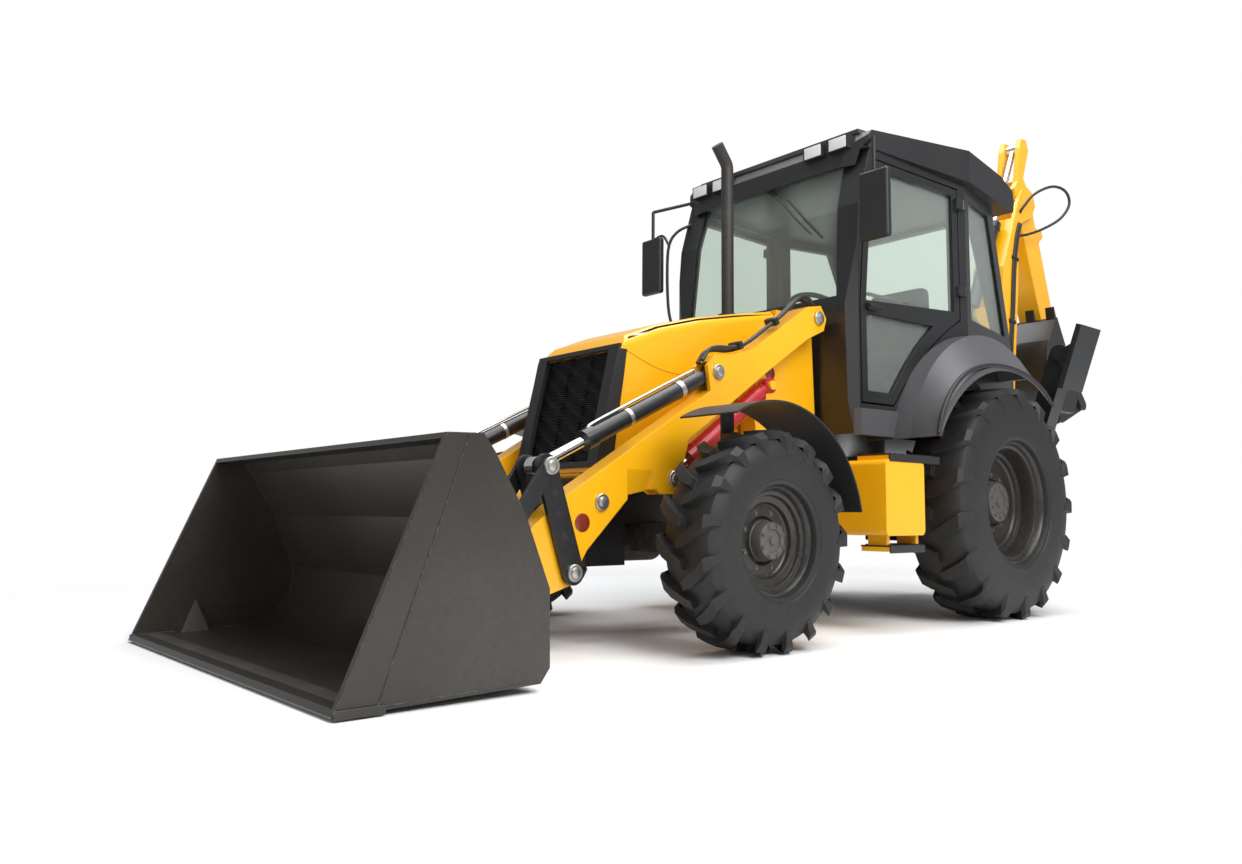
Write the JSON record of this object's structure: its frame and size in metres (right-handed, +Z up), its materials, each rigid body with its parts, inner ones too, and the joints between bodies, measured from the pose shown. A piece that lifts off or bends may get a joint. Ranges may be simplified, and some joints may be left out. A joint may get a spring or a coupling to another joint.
{
  "type": "backhoe loader",
  "caption": "Wheeled backhoe loader with a cab, a front loader bucket on lifting arms, a swinging digging arm at the rear and folding stabilizer legs.",
  "frame": {"origin": "on the ground, at the middle of the machine's length and width", "axes": "+X forward along the machine, +Y to its left, +Z up"},
  "size_m": [7.1841, 2.262, 3.7652],
  "materials": {
    "yellow_paint": "gloss",
    "black_paint": "satin",
    "red_paint": "gloss",
    "dark_plastic": "satin",
    "tyre_rubber": "matte",
    "rim_paint": "satin",
    "casting": "matte",
    "rod_chrome": "polished",
    "window": "gloss",
    "lamp_lens": "gloss",
    "seat_fabric": "matte"
  },
  "bodies": {
    "chassis": {"main_frame": "yellow_paint", "engine": "casting", "cowl": "dark_plastic", "exhaust_stack": "black_paint", "loader_towers": "yellow_paint", "front_axle": "casting", "rear_axle": "casting", "cab_frame": "black_paint", "cab_roof": "dark_plastic", "cab_glass": "window", "roof_lamps": "lamp_lens", "mirrors": "dark_plastic", "operator_seat": "seat_fabric", "cab_controls": "dark_plastic", "rear_fenders": "dark_plastic", "side_boxes": "yellow_paint", "rear_frame": "black_paint", "tie_down_lugs": "black_paint"},
    "hood": {"hood": "yellow_paint", "grille": "dark_plastic"},
    "door_left": {"door_left": "black_paint", "door_glass_left": "window"},
    "door_right": {"door_right": "black_paint", "door_glass_right": "window"},
    "knuckle_left": {"knuckle_left": "casting", "front_fender_left": "dark_plastic"},
    "knuckle_right": {"knuckle_right": "casting", "front_fender_right": "dark_plastic"},
    "wheel_front_left": {"tyre_front_left": "tyre_rubber", "rim_front_left": "rim_paint"},
    "wheel_front_right": {"tyre_front_right": "tyre_rubber", "rim_front_right": "rim_paint"},
    "wheel_rear_left": {"tyre_rear_left": "tyre_rubber", "rim_rear_left": "rim_paint"},
    "wheel_rear_right": {"tyre_rear_right": "tyre_rubber", "rim_rear_right": "rim_paint"},
    "stabilizer_leg_left": {"stabilizer_leg_left": "black_paint"},
    "stabilizer_leg_right": {"stabilizer_leg_right": "black_paint"},
    "stabilizer_pad_left": {"stabilizer_pad_left": "black_paint"},
    "stabilizer_pad_right": {"stabilizer_pad_right": "black_paint"},
    "loader_arms": {"loader_arms": "yellow_paint"},
    "loader_bucket": {"loader_bucket": "black_paint"},
    "loader_levers": {"loader_levers": "black_paint"},
    "bucket_links": {"bucket_links": "black_paint"},
    "tilt_barrels": {"tilt_barrels": "black_paint"},
    "tilt_rods": {"tilt_rods": "rod_chrome"},
    "lift_barrels": {"lift_barrels": "red_paint"},
    "lift_rods": {"lift_rods": "rod_chrome"},
    "swing_casting": {"swing_casting": "black_paint"},
    "boom": {"boom": "yellow_paint"},
    "dipper": {"dipper": "yellow_paint"},
    "digging_bucket": {"digging_bucket": "black_paint"},
    "bucket_guides": {"bucket_guides": "black_paint"},
    "digging_links": {"digging_links": "black_paint"},
    "boom_barrel": {"boom_barrel": "black_paint"},
    "boom_rod": {"boom_rod": "rod_chrome"},
    "dipper_barrel": {"dipper_barrel": "black_paint"},
    "dipper_rod": {"dipper_rod": "rod_chrome"},
    "curl_barrel": {"curl_barrel": "black_paint"},
    "curl_rod": {"curl_rod": "rod_chrome"}
  },
  "joints": [
    {"name": "steering_left", "type": "hinge", "parent": "chassis", "child": "knuckle_left", "pos_m": [1.565, 0.84, 0.49], "axis": [0, 0, 1], "range_deg": [-35, 35]},
    {"name": "steering_right", "type": "hinge", "parent": "chassis", "child": "knuckle_right", "pos_m": [1.565, -0.84, 0.49], "axis": [0, 0, 1], "range_deg": [-35.01, 35.01]},
    {"name": "front_wheel_left", "type": "hinge", "parent": "knuckle_left", "child": "wheel_front_left", "pos_m": [1.565, 0.945, 0.49], "axis": [0, 1, 0], "continuous": true},
    {"name": "rear_wheel_left", "type": "hinge", "parent": "chassis", "child": "wheel_rear_left", "pos_m": [-0.613, 0.88, 0.684], "axis": [0, 1, 0], "continuous": true},
    {"name": "front_wheel_right", "type": "hinge", "parent": "knuckle_right", "child": "wheel_front_right", "pos_m": [1.565, -0.945, 0.49], "axis": [0, 1, 0], "continuous": true},
    {"name": "rear_wheel_right", "type": "hinge", "parent": "chassis", "child": "wheel_rear_right", "pos_m": [-0.613, -0.88, 0.684], "axis": [0, 1, 0], "continuous": true},
    {"name": "hood_lid", "type": "hinge", "parent": "chassis", "child": "hood", "pos_m": [1.972, 0, 0.7883], "axis": [0, 1, 0], "range_deg": [0, 60]},
    {"name": "door_left", "type": "hinge", "parent": "chassis", "child": "door_left", "pos_m": [-0.558, 0.785, 1.95], "axis": [0, 0, 1], "range_deg": [0, 85]},
    {"name": "door_right", "type": "hinge", "parent": "chassis", "child": "door_right", "pos_m": [-0.558, -0.785, 1.95], "axis": [0, 0, -1], "range_deg": [0, 85]},
    {"name": "loader_lift", "type": "hinge", "parent": "chassis", "child": "loader_arms", "pos_m": [0.627, 0, 1.683], "axis": [0, -1, 0], "range_deg": [-2, 76]},
    {"name": "lift_barrels", "type": "hinge", "parent": "chassis", "child": "lift_barrels", "pos_m": [0.993, 0, 1.279], "axis": [0, -1, 0], "range_deg": [-2.45, 92.81]},
    {"name": "lift_rods", "type": "slide", "parent": "lift_barrels", "child": "lift_rods", "axis": [0.8181, 0, -0.5751], "range_m": [-0.01544, 0.58307]},
    {"name": "bucket_tilt", "type": "hinge", "parent": "loader_arms", "child": "loader_bucket", "pos_m": [2.727, 0, 0.22], "axis": [0, 1, 0], "range_deg": [-38, 120]},
    {"name": "loader_levers", "type": "hinge", "parent": "loader_arms", "child": "loader_levers", "pos_m": [2.318, 0, 0.356], "axis": [0, 1, 0], "range_deg": [-11.2, 35.35]},
    {"name": "bucket_links", "type": "hinge", "parent": "loader_bucket", "child": "bucket_links", "pos_m": [2.775, 0, 0.345], "axis": [0, 1, 0], "range_deg": [-103.73, 32.85]},
    {"name": "tilt_barrels", "type": "hinge", "parent": "loader_arms", "child": "tilt_barrels", "pos_m": [1.42, 0, 1.304], "axis": [0, 1, 0], "range_deg": [-0.34, 1.04]},
    {"name": "tilt_rods", "type": "slide", "parent": "tilt_barrels", "child": "tilt_rods", "axis": [0.9009, 0, -0.434], "range_m": [-0.09003, 0.2841]},
    {"name": "swing", "type": "hinge", "parent": "chassis", "child": "swing_casting", "pos_m": [-2.013, 0, 0.7], "axis": [0, 0, 1], "range_deg": [-90, 90]},
    {"name": "boom_lift", "type": "hinge", "parent": "swing_casting", "child": "boom", "pos_m": [-2.233, 0, 0.78], "axis": [0, -1, 0], "range_deg": [0, 120]},
    {"name": "boom_barrel", "type": "hinge", "parent": "swing_casting", "child": "boom_barrel", "pos_m": [-2.063, 0, 1.085], "axis": [0, -1, 0], "range_deg": [-0.01, 118.57]},
    {"name": "boom_rod", "type": "slide", "parent": "boom_barrel", "child": "boom_rod", "axis": [-0.0692, 0, 0.9976], "range_m": [-0.0001, 0.59616]},
    {"name": "dipper_swing", "type": "hinge", "parent": "boom", "child": "dipper", "pos_m": [-2.751, 0, 3.201], "axis": [0, 1, 0], "range_deg": [0, 100]},
    {"name": "dipper_barrel", "type": "hinge", "parent": "boom", "child": "dipper_barrel", "pos_m": [-2.008, 0, 2.15], "axis": [0, 1, 0], "range_deg": [-0.01, 12.81]},
    {"name": "dipper_rod", "type": "slide", "parent": "dipper_barrel", "child": "dipper_rod", "axis": [-0.4472, 0, 0.8944], "range_m": [-0.70521, 0.0001]},
    {"name": "digging_curl", "type": "hinge", "parent": "dipper", "child": "digging_bucket", "pos_m": [-3.31533, 0, 1.65051], "axis": [0, 1, 0], "range_deg": [0, 170]},
    {"name": "bucket_guides", "type": "hinge", "parent": "dipper", "child": "bucket_guides", "pos_m": [-3.22641, 0, 1.89483], "axis": [0, 1, 0], "range_deg": [-0.01, 90.11]},
    {"name": "digging_links", "type": "hinge", "parent": "bucket_guides", "child": "digging_links", "pos_m": [-3.5471, 0, 1.56505], "axis": [0, 1, 0], "range_deg": [-32.31, 0.01]},
    {"name": "curl_barrel", "type": "hinge", "parent": "dipper", "child": "curl_barrel", "pos_m": [-3.05094, 0, 2.99092], "axis": [0, 1, 0], "range_deg": [-0.01, 13.95]},
    {"name": "curl_rod", "type": "slide", "parent": "curl_barrel", "child": "curl_rod", "axis": [-0.3286, 0, -0.9445], "range_m": [-0.58164, 0.0001]},
    {"name": "leg_left", "type": "hinge", "parent": "chassis", "child": "stabilizer_leg_left", "pos_m": [-1.523, 0.56, 0.6], "axis": [-1, 0, 0], "range_deg": [0, 105]},
    {"name": "pad_left", "type": "hinge", "parent": "stabilizer_leg_left", "child": "stabilizer_pad_left", "pos_m": [-1.523, 0.94, 1.68], "axis": [1, 0, 0], "range_deg": [0, 70]},
    {"name": "leg_right", "type": "hinge", "parent": "chassis", "child": "stabilizer_leg_right", "pos_m": [-1.523, -0.56, 0.6], "axis": [1, 0, 0], "range_deg": [0, 105]},
    {"name": "pad_right", "type": "hinge", "parent": "stabilizer_leg_right", "child": "stabilizer_pad_right", "pos_m": [-1.523, -0.94, 1.68], "axis": [-1, 0, 0], "range_deg": [0, 70]}
  ],
  "couplings": [
    {"joint": "steering_right", "follows": "steering_left", "ratio": 1},
    {"joint": "lift_barrels", "follows": "loader_lift", "ratio": 1.221},
    {"joint": "lift_rods", "follows": "loader_lift", "m_per_rad": 0.4395},
    {"joint": "loader_levers", "follows": "bucket_tilt", "ratio": 0.2945},
    {"joint": "bucket_links", "follows": "bucket_tilt", "ratio": -0.8643},
    {"joint": "tilt_barrels", "follows": "bucket_tilt", "ratio": 0.0086},
    {"joint": "tilt_rods", "follows": "bucket_tilt", "m_per_rad": 0.1356},
    {"joint": "boom_barrel", "follows": "boom_lift", "ratio": 0.988},
    {"joint": "boom_rod", "follows": "boom_lift", "m_per_rad": 0.2846},
    {"joint": "dipper_barrel", "follows": "dipper_swing", "ratio": 0.128},
    {"joint": "dipper_rod", "follows": "dipper_swing", "m_per_rad": -0.404},
    {"joint": "bucket_guides", "follows": "digging_curl", "ratio": 0.53},
    {"joint": "digging_links", "follows": "digging_curl", "ratio": -0.19},
    {"joint": "curl_barrel", "follows": "digging_curl", "ratio": 0.082},
    {"joint": "curl_rod", "follows": "digging_curl", "m_per_rad": -0.196}
  ]
}
